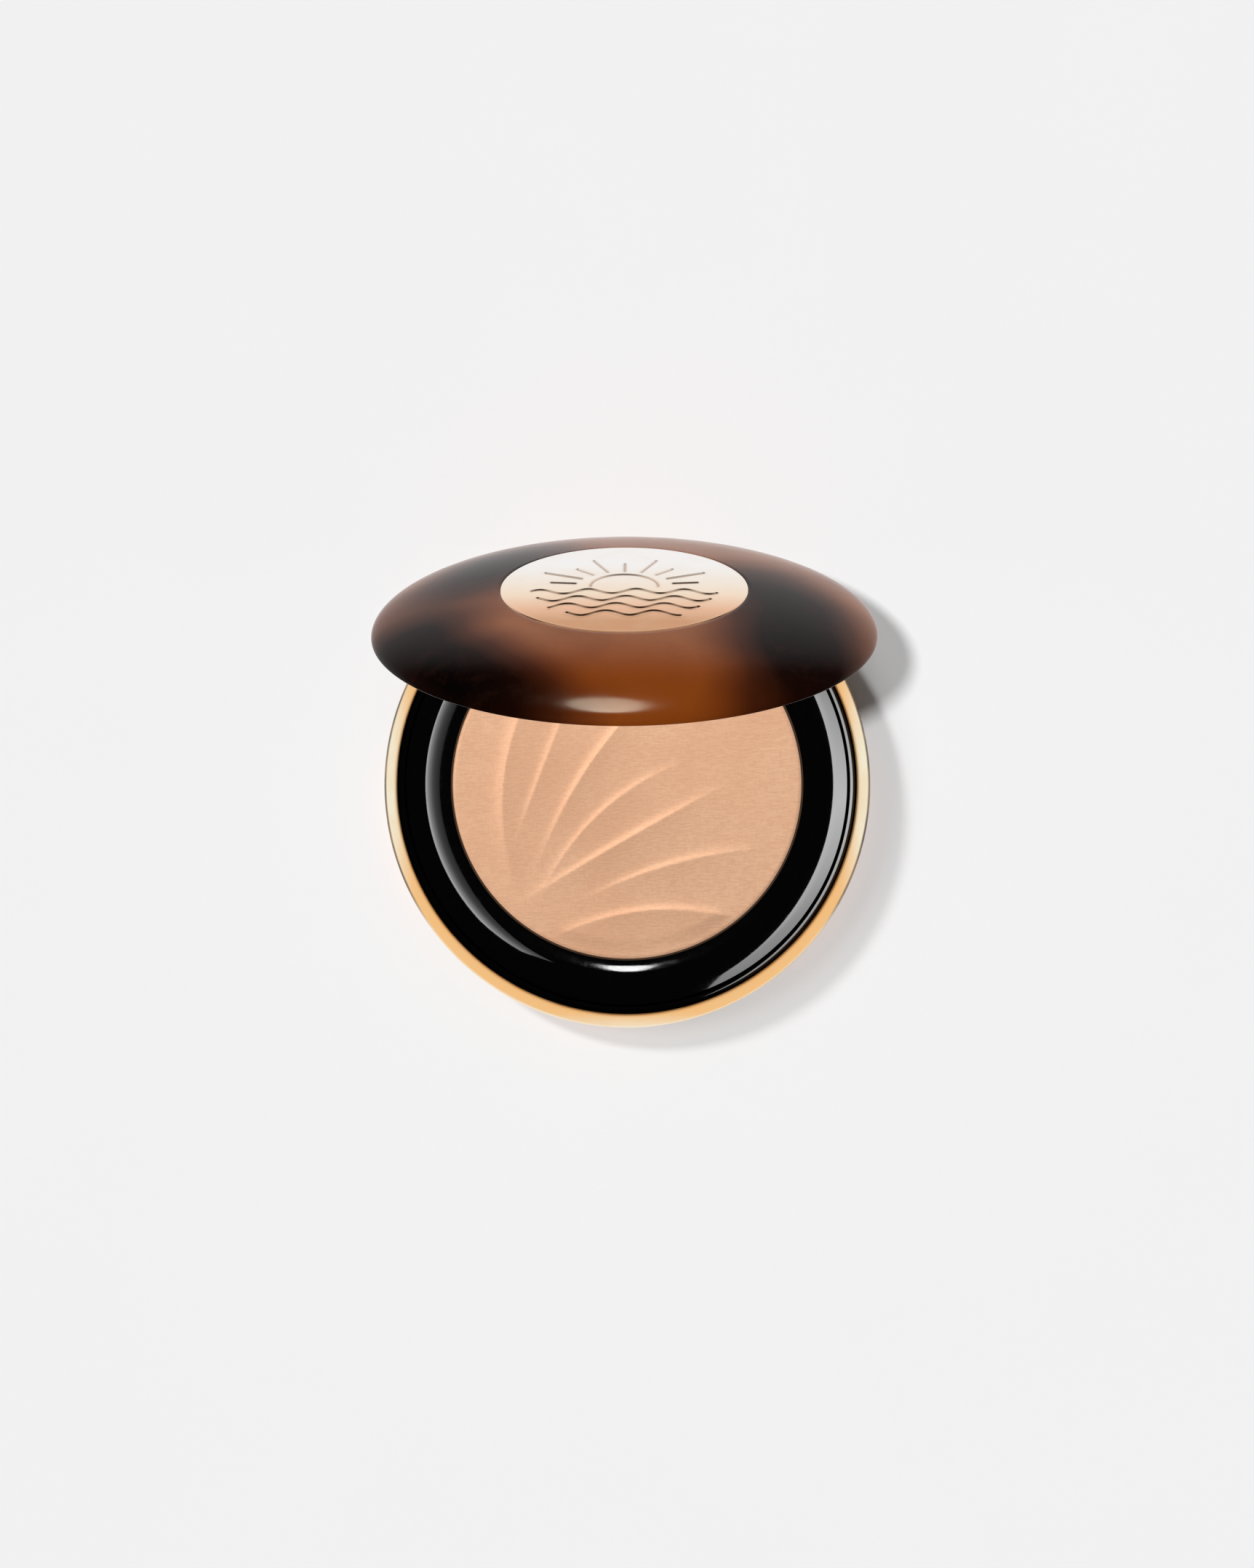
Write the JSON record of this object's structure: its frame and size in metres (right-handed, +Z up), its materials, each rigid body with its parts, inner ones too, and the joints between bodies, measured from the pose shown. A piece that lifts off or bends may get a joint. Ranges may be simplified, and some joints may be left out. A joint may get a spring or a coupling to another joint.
{
  "type": "powder compact",
  "caption": "Round pebble-shaped powder compact with a hinged domed lid, round mirror, gold band, crowned black bezel and a pan of pressed powder.",
  "frame": {"origin": "centre of the flat foot on the underside of the base", "axes": "+Z up out of the powder, +X to the right along the hinge axis, -Y towards the user; the hinge is at +Y"},
  "size_m": [0.078, 0.0783, 0.0784],
  "materials": {
    "tortoiseshell": "polished tortoiseshell-pattern plastic",
    "gold": "polished gold plating",
    "medallion_gold": "polished rose gold with a pressed pattern",
    "black_plastic": "piano black gloss",
    "powder": "pressed face powder, matte with a fine grain",
    "pan_metal": "pressed thin sheet",
    "steel": "plain",
    "mirror": "silvered",
    "glue": "double-sided film",
    "label_film": "blank satin label"
  },
  "bodies": {
    "base": {"bottom_shell": "tortoiseshell", "bottom_label": "label_film", "gold_band": "gold", "weight_plate": "steel", "inner_housing": "black_plastic", "bezel_ring": "black_plastic", "base_magnet_left": "steel", "base_magnet_right": "steel", "pan_adhesive": "glue", "powder_pan": "pan_metal", "pressed_powder": "powder", "hinge_pin_left": "steel", "hinge_pin_right": "steel"},
    "lid": {"lid_shell": "tortoiseshell", "medallion_tape": "glue", "lid_medallion": "medallion_gold", "lid_liner": "black_plastic", "lid_magnet_left": "steel", "lid_magnet_right": "steel", "mirror": "mirror", "mirror_tape": "glue"}
  },
  "joints": [
    {"name": "lid_hinge", "type": "hinge", "parent": "base", "child": "lid", "pos_m": [0, 0.036, 0.0095], "axis": [-1, 0, 0], "range_deg": [-66, 60]}
  ]
}
